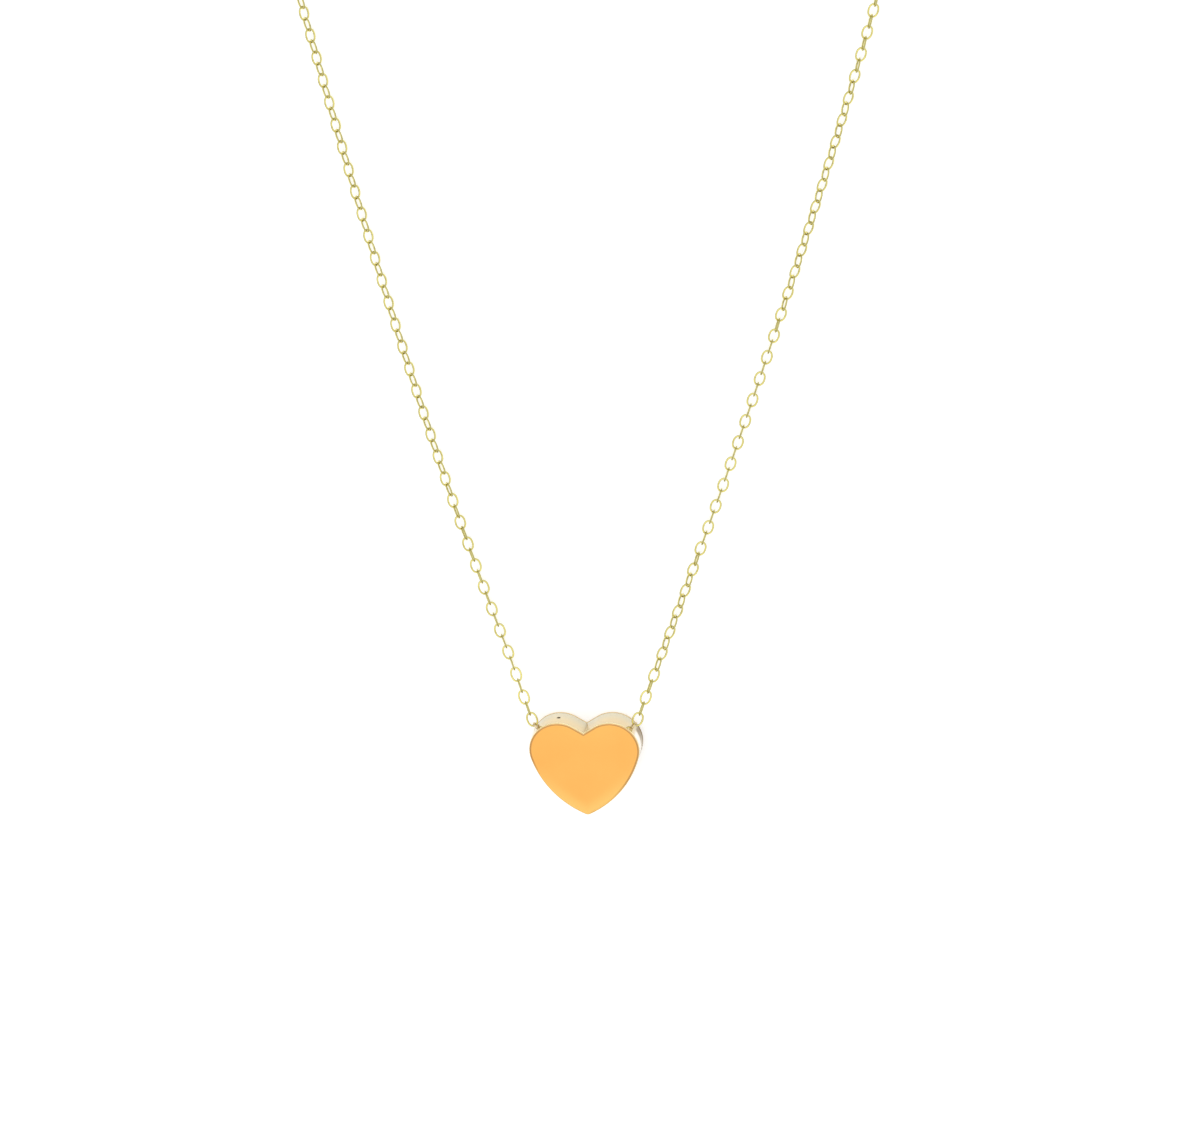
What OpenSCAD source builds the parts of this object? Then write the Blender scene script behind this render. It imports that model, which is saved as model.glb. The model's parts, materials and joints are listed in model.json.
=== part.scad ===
// Pendant necklace: a hollow heart pendant on a fine cable chain, laid open on its back.
// Origin: middle of the heart's back face. +Z is up, away from the surface it lies on, and
// +Y runs from the heart's tip to its notch. All sizes are in millimetres.

/* [Heart pendant] */
// Width of the heart across its two lobes
heart_w = 13.4; // [11.1:0.1:18]
// Height of the heart from the lobe tops to the tip
heart_h = 11.9; // [9.9:0.1:16]
// Thickness of the heart from back face to front face
heart_t = 3.85; // [2.8:0.05:5]
// Outer radius of each lobe
lobe_r = 3.55; // [2.8:0.05:4.3]
// Outer radius of the blunt tip
tip_r = 0.65; // [0.5:0.05:1.2]
// Fall of the top edge from each lobe down to the notch, in degrees
notch_slope = 32; // [20:1:45]
// How far each lobe's arc runs on below its widest point, in degrees
lobe_run = 17; // [5:1:30]
// Thickness of the sheet that the front and back plates are cut from
plate_t = 0.35; // [0.25:0.05:0.6]
// Thickness of the side band between the plates
band_t = 0.3; // [0.2:0.05:0.45]
// Diameter of the vent hole in the side band
vent_d = 0.45; // [0.3:0.05:0.8]

/* [Attachment loops] */
// Wire diameter of the two loops soldered to the side band
loop_wire = 0.28; // [0.16:0.02:0.4]
// Height of a loop's opening, across the band
loop_open = 0.5; // [0.4:0.02:1]
// Straight leg of a loop between its solder joint and its bend
loop_leg = 0.18; // [0.1:0.02:0.6]
// Where a loop stands on its lobe, in degrees above the lobe's widest point
loop_angle = 42; // [30:1:60]

/* [Chain] */
// Outer length of one oval link
link_l = 1.95; // [1.6:0.01:2.4]
// Outer width of one oval link
link_w = 1.38; // [1.15:0.01:1.7]
// Diameter of the link wire
link_wire = 0.23; // [0.16:0.01:0.28]
// Free play between two hooked wires
link_gap = 0.03; // [0.02:0.01:0.06]
// Links in each half of the chain, an odd number so that the last one lies flat
chain_links = 129; // [107:2:155]

/* [Chain ends] */
// Outer diameter of the jump rings at the chain's two ends
jump_d = 1.9; // [1.7:0.1:2.6]
// Wire diameter of the jump rings
jump_wire = 0.28; // [0.22:0.02:0.36]
// Outer diameter of the flat end ring that the clasp hooks into
end_ring_d = 4; // [3.4:0.1:5]
// Bore of the flat end ring
end_ring_bore = 2.6; // [2:0.1:3.3]
// Thickness of the flat end ring
end_ring_t = 0.4; // [0.3:0.05:0.6]

/* [Spring ring clasp] */
// Outer diameter of the clasp's ring
clasp_d = 5.5; // [4.8:0.1:7]
// Outer diameter of the tube that the ring is bent from
tube_d = 1.1; // [0.95:0.05:1.3]
// Wall of that tube
tube_wall = 0.14; // [0.1:0.01:0.18]
// Running clearance around the bolt inside the tube
bolt_play = 0.05; // [0.03:0.01:0.1]
// Mouth of the ring, in degrees around it
mouth = 45; // [35:1:55]
// How far the bolt draws back into the tube, in degrees around the ring
bolt_travel = 50; // [45:1:60]
// Length of bolt in the tube behind its thumb tab, in degrees around the ring
bolt_tail = 55; // [45:1:65]
// Diameter of the thumb tab's stem
tab_d = 0.4; // [0.3:0.05:0.5]
// How far the thumb tab stands out of the tube
tab_out = 0.85; // [0.6:0.05:1.2]
// Wire diameter of the return spring
spring_wire = 0.1; // [0.08:0.01:0.14]
// Turns in the return spring
spring_turns = 11; // [8:1:13]
// Wire diameter of the clasp's eye
eye_wire = 0.28; // [0.22:0.02:0.36]
// Opening of the clasp's eye
eye_open = 0.9; // [0.8:0.05:1.3]

/* [Hidden] */
$fn = 48;
LEFT = -1;
RIGHT = 1;
// degrees between the points of a rounded stretch of the heart's outline
arc_step = 6;
face_gold = [0.93, 0.66, 0.30];
band_gold = [0.90, 0.80, 0.58];
chain_gold = [0.88, 0.76, 0.42];
steel = [0.62, 0.62, 0.62];

// ---- heart outline ----
lobe_at = [heart_w / 2 - lobe_r, heart_h / 2 - lobe_r];
tip_at = [0, tip_r - heart_h / 2];
// each side is one arc that touches the lobe's arc at one end and the tip's arc at the other
lobe_end_dir = [cos(lobe_run), -sin(lobe_run)];
lobe_to_tip = lobe_at - tip_at;
radius_diff = lobe_r - tip_r;
side_extra = (lobe_to_tip * lobe_to_tip - radius_diff * radius_diff)
    / (2 * (lobe_to_tip * lobe_end_dir + radius_diff));
side_r = lobe_r + side_extra;
side_at = lobe_at - side_extra * lobe_end_dir;
tip_turn = atan2(tip_at[1] - side_at[1], tip_at[0] - side_at[0]);
band_z = [plate_t, heart_t - plate_t];

function polar(r, angle) = r * [cos(angle), sin(angle)];

// points along an arc, first and last included
function arc(at, r, from, to) =
    let (steps = ceil(abs(to - from) / arc_step))
    [for (i = [0:steps]) at + polar(r, from + (to - from) * i / steps)];

// right half of the outline from tip to notch, moved inwards by inset
function half_outline(inset) =
    let (
        lobe = arc(lobe_at, lobe_r - inset, -lobe_run, 90 + notch_slope),
        lobe_last = lobe[len(lobe) - 1],
        side = arc(side_at, side_r - inset, tip_turn, -lobe_run),
        tip = arc(tip_at, tip_r - inset, -90, tip_turn)
    )
    concat(
        tip,
        [for (i = [1:len(side) - 1]) side[i]],
        [for (i = [1:len(lobe) - 1]) lobe[i]],
        [[0, lobe_last[1] - lobe_last[0] * tan(notch_slope)]]
    );

function reversed(points) = [for (i = [len(points) - 1:-1:0]) points[i]];

module heart_plate(from_z) {
    half = half_outline(0);
    other_half = [for (i = [len(half) - 2:-1:1]) [-half[i][0], half[i][1]]];
    translate([0, 0, from_z])
        linear_extrude(plate_t)
            polygon(concat(half, other_half));
}

// half of the side band: the plates close it above and below, and the halves meet at notch and tip
module heart_band(side) {
    translate([0, 0, band_z[0]])
        linear_extrude(band_z[1] - band_z[0])
            mirror([side == LEFT ? 1 : 0, 0])
                polygon(concat(half_outline(0), reversed(half_outline(band_t))));
}

module heart_front_plate() { color(face_gold) heart_plate(band_z[1]); }
module heart_back_plate() { color(face_gold) heart_plate(0); }
module heart_band_right() { color(band_gold) heart_band(RIGHT); }

// the left half has the vent that lets gas out of the hollow heart while it is soldered
module heart_band_left() {
    color(band_gold)
        difference() {
            heart_band(LEFT);
            translate([-lobe_at[0], heart_h / 2, heart_t / 2])
                rotate([90, 0, 0])
                    cylinder(h = 4 * band_t, d = vent_d, center = true);
        }
}

// ---- attachment loops ----
loop_bend_r = (loop_open + loop_wire) / 2;
loop_reach = loop_leg + loop_bend_r;
function loop_top(side) =
    let (p = lobe_at + polar(lobe_r + loop_reach, loop_angle))
    [side * p[0], p[1], heart_t / 2];

// a staple of round wire: a half ring on two legs, standing across the band
module attachment_loop(side) {
    color(band_gold)
        mirror([side == LEFT ? 1 : 0, 0])
            translate([lobe_at[0], lobe_at[1], heart_t / 2])
                rotate([0, 0, loop_angle])
                    translate([lobe_r, 0, 0])
                        rotate([90, 0, 0]) {
                            translate([loop_leg, 0, 0])
                                rotate([0, 0, -90])
                                    rotate_extrude(angle = 180)
                                        translate([loop_bend_r, 0]) circle(d = loop_wire);
                            for (leg = [-1, 1])
                                translate([0, leg * loop_bend_r, 0])
                                    rotate([0, 90, 0]) cylinder(h = loop_leg, d = loop_wire);
                        }
}

// ---- chain route ----
// distance from one hooking point to the next along the chain
pitch = link_l - 2 * link_wire - link_gap;
strand = chain_links * pitch;
// each half of the chain is two single links at the heart and then this many flexing lengths
flex_lengths = 8;
length_links = round((chain_links - 2) / flex_lengths);
// from a link's middle to the centre of its end wire
link_reach = (link_l - link_wire) / 2;
// the chain's axis when an upright link touches the surface
rest_z = link_w / 2;
// length over which the chain comes down from the heart's middle to the surface
drop_length = 10;
// length over which the chain's ends rise to the middle of their standing jump rings
rise_length = 12;

// strand length that the tables below are drawn for; other lengths follow the same curve
route_span = 188.34;
// [distance along the strand, heading in degrees outwards from +Y]
left_route = [
    [0, 18], [20, 16], [40, 14], [60, 13], [80, 12], [100, 11.5],
    [118, 8], [135, -12], [150, -42], [165, -70], [180, -86], [190, -90]
];
right_route = [
    [0, 22], [20, 21.5], [40, 20.5], [60, 19.5], [80, 18.5], [100, 17],
    [114, 8], [126, -18], [140, -52], [154, -84], [170, -100], [190, -104]
];
// [distance along the strand, slow twist of the chain in degrees]
left_twist = [[0, 8], [16, 18], [28, 26], [36, 42], [120, 42], [150, 0]];
right_twist = [
    [0, 4], [5, 10], [10, 32], [19, 32], [25, 0], [52, 0], [62, 36], [84, 38], [90, 14], [130, 0]
];

function on_route(s) = s * route_span / strand;
function heading(side, s) = side * lookup(on_route(s), side == LEFT ? left_route : right_route);
function twist(side, s) = lookup(on_route(s), side == LEFT ? left_twist : right_twist);
// 1 at t = 0, falling smoothly to 0 at t = 1
function ease(t) = t >= 1 ? 0 : (1 - t) * (1 - t) * (1 + 2 * t);
function axis_z(s) = rest_z
    + (heart_t / 2 - rest_z) * ease(s / drop_length)
    + (jump_d / 2 - rest_z) * ease((strand - s) / rise_length);

// direction angles of link i: heading about Z, rise above the surface, roll about its own length
function link_turn(side, i) = [
    heading(side, (i + 0.5) * pitch),
    asin((axis_z((i + 1) * pitch) - axis_z(i * pitch)) / pitch),
    90 * (i % 2) + twist(side, (i + 0.5) * pitch)
];
function along(turn) = [cos(turn[1]) * sin(turn[0]), cos(turn[1]) * cos(turn[0]), sin(turn[1])];

// the hooking points of a strand, from the heart outwards
function hook_points(side) = [
    for (
        i = 0, p = loop_top(side) - (loop_wire + link_gap) / 2 * along(link_turn(side, 0));
        i <= chain_links;
        p = p + pitch * along(link_turn(side, i)), i = i + 1
    ) p
];
left_hooks = hook_points(LEFT);
right_hooks = hook_points(RIGHT);
function hooks(side) = side == LEFT ? left_hooks : right_hooks;

// places its children, drawn along +Y in the XY plane, at a point of the chain
module place(at, turn) {
    translate(at) rotate([0, 0, -turn[0]]) rotate([turn[1], 0, 0]) rotate([0, turn[2], 0]) children();
}

// one oval cable link: two round bends joined by two straights
module link() {
    bend_r = (link_w - link_wire) / 2;
    straight = link_l - link_w;
    for (end = [0, 1])
        mirror([0, end, 0])
            translate([0, straight / 2, 0])
                rotate_extrude(angle = 180)
                    translate([bend_r, 0]) circle(d = link_wire);
    for (side = [-1, 1])
        translate([side * bend_r, 0, 0])
            rotate([90, 0, 0]) cylinder(h = straight, d = link_wire, center = true);
}

// links first to last of one strand, counted from 0 at the heart
module chain_run(side, first, last) {
    color(chain_gold)
        for (i = [first:last])
            let (turn = link_turn(side, i))
                place(hooks(side)[i] + pitch / 2 * along(turn), turn) link();
}

// one flexing length of the chain, counted from 1 at the heart, after the two single links
module chain_length(side, n) {
    first = 2 + (n - 1) * length_links;
    last = n == flex_lengths ? chain_links - 1 : first + length_links - 1;
    chain_run(side, first, last);
}

// ---- chain ends ----
jump_r = (jump_d - jump_wire) / 2;
function end_turn(side) = [heading(side, strand), 0, 0];
function end_dir(side) = along(end_turn(side));
// the last link is flat and its jump ring stands upright in it
function last_wire(side) =
    hooks(side)[chain_links] + (link_wire + link_gap) / 2 * along(link_turn(side, chain_links - 1));
function jump_at(side) =
    last_wire(side) + (jump_r - (link_wire + jump_wire) / 2 - link_gap) * end_dir(side);

module wire_ring(r, wire) {
    rotate_extrude() translate([r, 0]) circle(d = wire);
}

module jump_ring(side) {
    color(chain_gold)
        place(jump_at(side), end_turn(side)) rotate([0, 90, 0]) wire_ring(jump_r, jump_wire);
}

// where the flat end ring's bore rests against the inside of its jump ring
end_ring_seat = sqrt(pow(jump_r - jump_wire / 2, 2) - pow(end_ring_t / 2, 2)) - link_gap;
end_ring_at = jump_at(RIGHT) + (end_ring_seat + end_ring_bore / 2) * end_dir(RIGHT);

module end_ring() {
    color(chain_gold)
        translate(end_ring_at)
            difference() {
                cylinder(h = end_ring_t, d = end_ring_d, center = true);
                cylinder(h = 2 * end_ring_t, d = end_ring_bore, center = true);
            }
}

// ---- spring ring clasp ----
// angles run round the clasp's ring from +X, with the eye at -X
clasp_r = (clasp_d - tube_d) / 2;
bore_r = tube_d / 2 - tube_wall;
bolt_r = bore_r - bolt_play;
eye_r = (eye_open + eye_wire) / 2;
mouth_from = 15;
// how far the closed bolt reaches into the far end of the tube
bolt_grip = 4;
// the tab stands this far back from the mouth, and its slot runs a little past its travel
tab_back = 12;
slot_margin = 8;
tab_angle = mouth_from - tab_back;
bolt_from = tab_angle - bolt_tail;
bolt_to = mouth_from + mouth + bolt_grip;
// the spring presses on a stop beside the eye at one end and on the bolt at the other
spring_stop = 12;
spring_gap = 1;
spring_from = spring_stop - 180;
spring_to = bolt_from - spring_gap;
clasp_at = jump_at(LEFT)
    + (jump_r - (jump_wire + eye_wire) / 2 - link_gap + eye_r + clasp_d / 2 + eye_r) * end_dir(LEFT);

// draws its children in the clasp's own frame
module clasp_frame() {
    translate(clasp_at) rotate([0, 0, 90 - end_turn(LEFT)[0]]) children();
}

module ring_arc(r, from, to) {
    rotate([0, 0, from]) rotate_extrude(angle = to - from) translate([r, 0]) children();
}

module clasp_ring_tube() {
    color(chain_gold)
        clasp_frame()
            difference() {
                ring_arc(clasp_r, mouth_from + mouth, mouth_from + 360)
                    difference() {
                        circle(d = tube_d);
                        circle(r = bore_r);
                    }
                // slot that the thumb tab travels in
                ring_arc(clasp_r, tab_angle - bolt_travel - slot_margin, tab_angle + slot_margin)
                    translate([0, -tab_d / 2 - bolt_play]) square([tube_d, tab_d + 2 * bolt_play]);
            }
}

module clasp_eye() {
    color(chain_gold)
        clasp_frame()
            difference() {
                translate([-clasp_d / 2 - eye_r, 0, 0]) wire_ring(eye_r, eye_wire);
                wire_ring(clasp_r, tube_d);
            }
}

module bolt_rod() {
    ring_arc(clasp_r, bolt_from, bolt_to) circle(r = bolt_r);
}

module clasp_bolt() {
    color(chain_gold) clasp_frame() bolt_rod();
}

module clasp_thumb_tab() {
    color(chain_gold)
        clasp_frame()
            difference() {
                rotate([0, 0, tab_angle])
                    translate([clasp_r, 0, 0])
                        rotate([0, 90, 0]) cylinder(h = tube_d / 2 + tab_out, d = tab_d);
                bolt_rod();
            }
}

// return spring: a coil of fine wire bent round the ring inside the tube
spring_r = bore_r - bolt_play - spring_wire / 2;
spring_steps = 12;
wire_sides = 6;
nudge = 0.001;
function spring_point(t) =
    let (
        around = spring_from + (spring_to - spring_from) * t,
        roll = 360 * spring_turns * t,
        out = clasp_r + spring_r * cos(roll)
    )
    [out * cos(around), out * sin(around), spring_r * sin(roll)];
function unit(v) = v / norm(v);

module clasp_spring() {
    count = spring_turns * spring_steps;
    rings = [
        for (i = [0:count])
            let (
                t = i / count,
                dir = unit(spring_point(t + nudge) - spring_point(t - nudge)),
                side = unit(cross(dir, [0, 0, 1])),
                up = cross(side, dir)
            )
            for (k = [0:wire_sides - 1])
                spring_point(t)
                    + spring_wire / 2 * (cos(360 * k / wire_sides) * side + sin(360 * k / wire_sides) * up)
    ];
    walls = [
        for (i = [0:count - 1], k = [0:wire_sides - 1])
            let (a = i * wire_sides + k, b = i * wire_sides + (k + 1) % wire_sides)
            [a, b, b + wire_sides, a + wire_sides]
    ];
    ends = [
        [for (k = [wire_sides - 1:-1:0]) k],
        [for (k = [0:wire_sides - 1]) count * wire_sides + k]
    ];
    color(steel) clasp_frame() polyhedron(rings, concat(walls, ends), convexity = 20);
}

heart_front_plate();
heart_back_plate();
heart_band_left();
heart_band_right();
attachment_loop(LEFT);  // attachment_loop_left
attachment_loop(RIGHT);  // attachment_loop_right
chain_run(LEFT, 0, 0);  // left_link_1
chain_run(LEFT, 1, 1);  // left_link_2
chain_run(RIGHT, 0, 0);  // right_link_1
chain_run(RIGHT, 1, 1);  // right_link_2
for (n = [1:flex_lengths]) {
    chain_length(LEFT, n);
    chain_length(RIGHT, n);
}
jump_ring(LEFT);  // clasp_jump_ring
clasp_ring_tube();
clasp_eye();
clasp_bolt();
clasp_thumb_tab();
clasp_spring();
jump_ring(RIGHT);  // end_jump_ring
end_ring();
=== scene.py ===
import json
import math

import bpy
import numpy as np
from mathutils import Matrix, Vector


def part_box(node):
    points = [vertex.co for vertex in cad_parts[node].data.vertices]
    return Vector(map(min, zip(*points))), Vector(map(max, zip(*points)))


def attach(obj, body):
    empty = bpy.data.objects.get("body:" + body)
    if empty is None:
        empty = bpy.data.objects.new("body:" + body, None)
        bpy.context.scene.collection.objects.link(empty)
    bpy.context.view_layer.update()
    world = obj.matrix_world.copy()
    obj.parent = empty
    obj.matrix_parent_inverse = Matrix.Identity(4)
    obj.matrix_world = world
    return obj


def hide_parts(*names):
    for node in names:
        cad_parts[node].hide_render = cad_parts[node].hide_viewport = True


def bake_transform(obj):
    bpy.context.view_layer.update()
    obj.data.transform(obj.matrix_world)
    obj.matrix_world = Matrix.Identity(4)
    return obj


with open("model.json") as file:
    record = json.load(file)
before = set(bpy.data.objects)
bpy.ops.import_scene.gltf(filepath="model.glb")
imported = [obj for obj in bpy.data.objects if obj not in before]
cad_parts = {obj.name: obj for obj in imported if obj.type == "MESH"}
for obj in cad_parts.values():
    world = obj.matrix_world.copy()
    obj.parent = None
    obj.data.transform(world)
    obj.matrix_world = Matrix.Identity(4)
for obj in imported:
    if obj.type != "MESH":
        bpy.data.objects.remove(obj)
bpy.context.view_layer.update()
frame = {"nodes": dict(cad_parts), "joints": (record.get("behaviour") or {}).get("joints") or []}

# Lengths in this script are millimetres until a mesh is made, and MM turns them into metres.
MM = 0.001

# ---------------------------------------------------------------------------
# Sizes, from the frame where it holds them
# ---------------------------------------------------------------------------


def box_mm(node):
    low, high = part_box(node)
    return np.array(low) / MM, np.array(high) / MM


def joint_point(name):
    """A joint's place in millimetres."""
    joint = next(j for j in frame["joints"] if j["name"] == name)
    return np.array(joint["pos_m"]) / MM


plate_low, plate_high = box_mm("heart_front_plate")
HEART_W = plate_high[0] - plate_low[0]
HEART_H = plate_high[1] - plate_low[1]
HEART_T = plate_high[2]
PLATE_T = plate_high[2] - plate_low[2]

# the heart's outline, as the CAD plates have it
LOBE_R = 3.55
TIP_R = 0.65
NOTCH_SLOPE = math.radians(32)
LOBE_RUN = math.radians(17)
BAND_T = 0.3
BAND_SET_IN = 0.035
VENT_D = 0.45

# how the plates are worn by polishing
EDGE_R = 0.15
INNER_BEVEL = 0.03
DOME_REACH = 1.9
DOME_DROP = 0.03
DOME_STEPS = (0.19, 0.24, 0.32, 0.45, 0.62, 0.85, 1.15, 1.5, DOME_REACH)

# the brown line round the front plate, a painted dark reflection along its edge
LINE_INSET = 0.17
LINE_CORE = 0.03
LINE_FADE = 0.13
LINE_DEPTH = 0.85

# tarnish on the band, from 0 to 1, and how far it reaches from a seam or a plate
SEAM_DARK = 0.22
SEAM_REACH = 0.25
PLATE_LINE_DARK = 0.12
PLATE_LINE_REACH = 0.12

# heights on the band, where a painted tone starts to change and where it has changed: painted shade
# below the right loop, a painted highlight above it, and a painted grey reflection
PAINTED_SHADE_TOP = (1.5, 2.1)
PAINTED_HIGHLIGHT_FROM = (1.8, 2.3)
GREY_FADE = (0.4, 3.0)

# degrees round the right lobe, from its right side, where the painted shade below the right loop starts
# and stops
PAINTED_SHADE_IN = (-85, -45)
PAINTED_SHADE_OUT = (28, 36)
PAINTED_SHADE_DEEPEST = (-30, 20)
PAINTED_SHADE_LEAST = 0.6

# round wire
LOOP_WIRE = 0.28
LOOP_OPEN = 0.5
LOOP_LEG = 0.18
LOOP_ANGLE = math.radians(42)
LOOP_SINK = 0.03
SOLDER_SWELL = 0.35
LINK_L = 1.95
LINK_W = 1.38
LINK_WIRE = 0.23
JUMP_D = 1.9
JUMP_WIRE = 0.28

# clasp, angles run round its ring from the side away from the eye
CLASP_D = 5.5
TUBE_D = 1.1
TUBE_WALL = 0.14
BOLT_PLAY = 0.05
MOUTH_FROM = 15
MOUTH = 45
BOLT_GRIP = 4
BOLT_TAIL = 55
BOLT_TRAVEL = 50
BOLT_NOSE = 0.12
# the flat of the bolt's nose, as a share of its radius
BOLT_FLAT = 0.72
SLOT_MARGIN = 8
TAB_BACK = 12
TAB_D = 0.4
TAB_OUT = 0.85
EYE_OPEN = 0.9
EYE_WIRE = 0.28
SPRING_WIRE = 0.1
SPRING_TURNS = 11
SPRING_FROM = -168

END_RING_D = 4.0
END_RING_BORE = 2.6
END_RING_T = 0.4

# ---------------------------------------------------------------------------
# Materials
# ---------------------------------------------------------------------------


def two_tones(nodes, links, low, high, factor):
    """A colour that goes from low to high as factor goes from 0 to 1."""
    ramp = nodes.new("ShaderNodeValToRGB")
    ramp.color_ramp.elements[0].color = (*low, 1)
    ramp.color_ramp.elements[1].color = (*high, 1)
    links.new(factor, ramp.inputs["Fac"])
    return ramp.outputs["Color"]


def noise(nodes, links, coords, per_mm, detail=3.0):
    """Noise with per_mm blotches to the millimetre."""
    tex = nodes.new("ShaderNodeTexNoise")
    tex.inputs["Scale"].default_value = per_mm / MM
    tex.inputs["Detail"].default_value = detail
    links.new(coords, tex.inputs["Vector"])
    return tex.outputs["Fac"]


def remap(nodes, links, value, low, high):
    """value from 0.3..0.7, where noise mostly lies, to low..high."""
    node = nodes.new("ShaderNodeMapRange")
    node.inputs["From Min"].default_value = 0.3
    node.inputs["From Max"].default_value = 0.7
    node.inputs["To Min"].default_value = low
    node.inputs["To Max"].default_value = high
    links.new(value, node.inputs["Value"])
    return node.outputs["Result"]


def polished(name, base, shade, rough, tone_per_mm, grain_per_mm, bump_mm, marks=()):
    """Polished plating: soft tone changes, fine polishing marks, and marks such as tarnish, painted
    reflections, painted highlights and painted shade.

    base and shade are the plating's two tones. Each of marks is a point attribute's name and the
    colour that the plating turns to where that attribute is 1.
    """
    mat = bpy.data.materials.new(name)
    mat.use_nodes = True
    nodes, links = mat.node_tree.nodes, mat.node_tree.links
    shader = nodes["Principled BSDF"]
    shader.inputs["Metallic"].default_value = 1.0
    coords = nodes.new("ShaderNodeTexCoord").outputs["Object"]

    tone = remap(nodes, links, noise(nodes, links, coords, tone_per_mm), 0.0, 1.0)
    colour = two_tones(nodes, links, shade, base, tone)
    for attribute, marked in marks:
        mix = nodes.new("ShaderNodeMix")
        mix.data_type = "RGBA"
        mix.inputs["B"].default_value = (*marked, 1)
        mark = nodes.new("ShaderNodeAttribute")
        mark.attribute_name = attribute
        links.new(colour, mix.inputs["A"])
        links.new(mark.outputs["Fac"], mix.inputs["Factor"])
        colour = mix.outputs["Result"]
    links.new(colour, shader.inputs["Base Color"])

    grain = noise(nodes, links, coords, grain_per_mm, detail=4.0)
    links.new(remap(nodes, links, grain, *rough), shader.inputs["Roughness"])

    bump = nodes.new("ShaderNodeBump")
    bump.inputs["Distance"].default_value = bump_mm * MM
    bump.inputs["Strength"].default_value = 0.5
    links.new(grain, bump.inputs["Height"])
    links.new(bump.outputs["Normal"], shader.inputs["Normal"])
    return mat


# painted light on the face: a painted reflection, yellower towards the bottom, and a painted dark
# reflection, the brown line round the edge; on the back plate, painted shade below the right loop
FACE = polished(
    "face_gold", base=(1.0, 0.525, 0.138), shade=(1.0, 0.49, 0.122),
    rough=(0.16, 0.24), tone_per_mm=0.15, grain_per_mm=6.0, bump_mm=0.004,
    marks=[("painted_reflection", (1.0, 0.60, 0.175)), ("wear_and_painted_shade", (0.46, 0.24, 0.09))],
)
# painted light on the rim: a painted reflection towards the bottom, and a painted dark reflection, the
# brown line
RIM = polished(
    "rim_gold", base=(1.0, 0.86, 0.50), shade=(1.0, 0.80, 0.42),
    rough=(0.08, 0.16), tone_per_mm=0.5, grain_per_mm=9.0, bump_mm=0.002,
    marks=[("painted_reflection", (1.0, 0.66, 0.24)), ("wear_and_painted_shade", (0.40, 0.28, 0.14))],
)
# on the band: a painted grey reflection low down, a painted highlight and painted shade below the right
# loop, and real tarnish at seams, plate joints and solder fillets
BAND = polished(
    "band_gold", base=(0.82, 0.68, 0.42), shade=(0.78, 0.63, 0.38),
    rough=(0.10, 0.22), tone_per_mm=0.4, grain_per_mm=5.0, bump_mm=0.006,
    marks=[
        ("painted_reflection", (0.73, 0.68, 0.53)), ("painted_highlight", (1.0, 0.97, 0.90)), ("wear_and_painted_shade", (0.30, 0.21, 0.10)),
    ],
)
# on the chain: painted dark reflections along the wires' sides, painted shade inside the links' bends
# where the next links hook, and real wear at seams and solder
CHAIN = polished(
    "chain_gold", base=(0.95, 0.85, 0.28), shade=(0.84, 0.73, 0.21),
    rough=(0.10, 0.20), tone_per_mm=0.35, grain_per_mm=12.0, bump_mm=0.002,
    marks=[("painted_reflection", (0.40, 0.37, 0.17)), ("wear_and_painted_shade", (0.16, 0.10, 0.03))],
)
STEEL = polished(
    "spring_steel", base=(0.62, 0.62, 0.62), shade=(0.45, 0.45, 0.46),
    rough=(0.22, 0.36), tone_per_mm=1.0, grain_per_mm=14.0, bump_mm=0.002,
)

# ---------------------------------------------------------------------------
# Mesh building
# ---------------------------------------------------------------------------


def unit(v):
    return v / np.linalg.norm(v)


class Build:
    """Collects vertices, in millimetres, and faces of one piece."""

    def __init__(self):
        self.verts, self.faces, self.slots = [], [], []
        # point marks, in order: real wear together with painted shade, a painted reflection, and a
        # painted highlight
        self.marks = {"wear_and_painted_shade": [], "painted_reflection": [], "painted_highlight": []}

    def add(self, points, wear_and_painted_shade=None, painted_reflection=None, painted_highlight=None):
        first = len(self.verts)
        self.verts.extend(np.asarray(p, float) for p in points)
        for mark, values in (("wear_and_painted_shade", wear_and_painted_shade), ("painted_reflection", painted_reflection), ("painted_highlight", painted_highlight)):
            self.marks[mark].extend([0.0] * len(points) if values is None else values)
        return first

    def face(self, corners, slot=0):
        self.faces.append(tuple(corners))
        self.slots.append(slot)

    def rings(self, rings, closed_path, wear_and_painted_shade=None, painted_reflection=None, slots=None):
        """Skins rings of the same number of points, each a closed loop, in order.

        An open path gets a cap at each end.
        """
        count = len(rings[0])
        slots = slots or [0] * len(rings)
        flat = [p for ring in rings for p in ring]
        first = self.add(flat, wear_and_painted_shade, painted_reflection)
        last = len(rings) if closed_path else len(rings) - 1
        for i in range(last):
            a = first + i * count
            b = first + (i + 1) % len(rings) * count
            for k in range(count):
                n = (k + 1) % count
                self.face((a + k, a + n, b + n, b + k), slots[i])
        if not closed_path:
            end = first + (len(rings) - 1) * count
            self.face(tuple(first + k for k in reversed(range(count))), slots[0])
            self.face(tuple(end + k for k in range(count)), slots[-1])

    def piece(self, name, materials, body, nodes):
        """Makes the object. A body of None leaves the piece attached to no body."""
        mesh = bpy.data.meshes.new(name)
        mesh.from_pydata([tuple(v * MM) for v in self.verts], [], self.faces)
        for mat in materials:
            mesh.materials.append(mat)
        for poly, index in zip(mesh.polygons, self.slots):
            poly.material_index = index
            poly.use_smooth = True
        for mark, values in self.marks.items():
            attribute = mesh.attributes.new(mark, "FLOAT", "POINT")
            attribute.data.foreach_set("value", np.array(values, np.float32))
        mesh.validate()
        obj = bpy.data.objects.new(name, mesh)
        bpy.context.scene.collection.objects.link(obj)
        if body:
            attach(obj, body)
        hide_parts(*nodes)
        return obj


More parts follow.
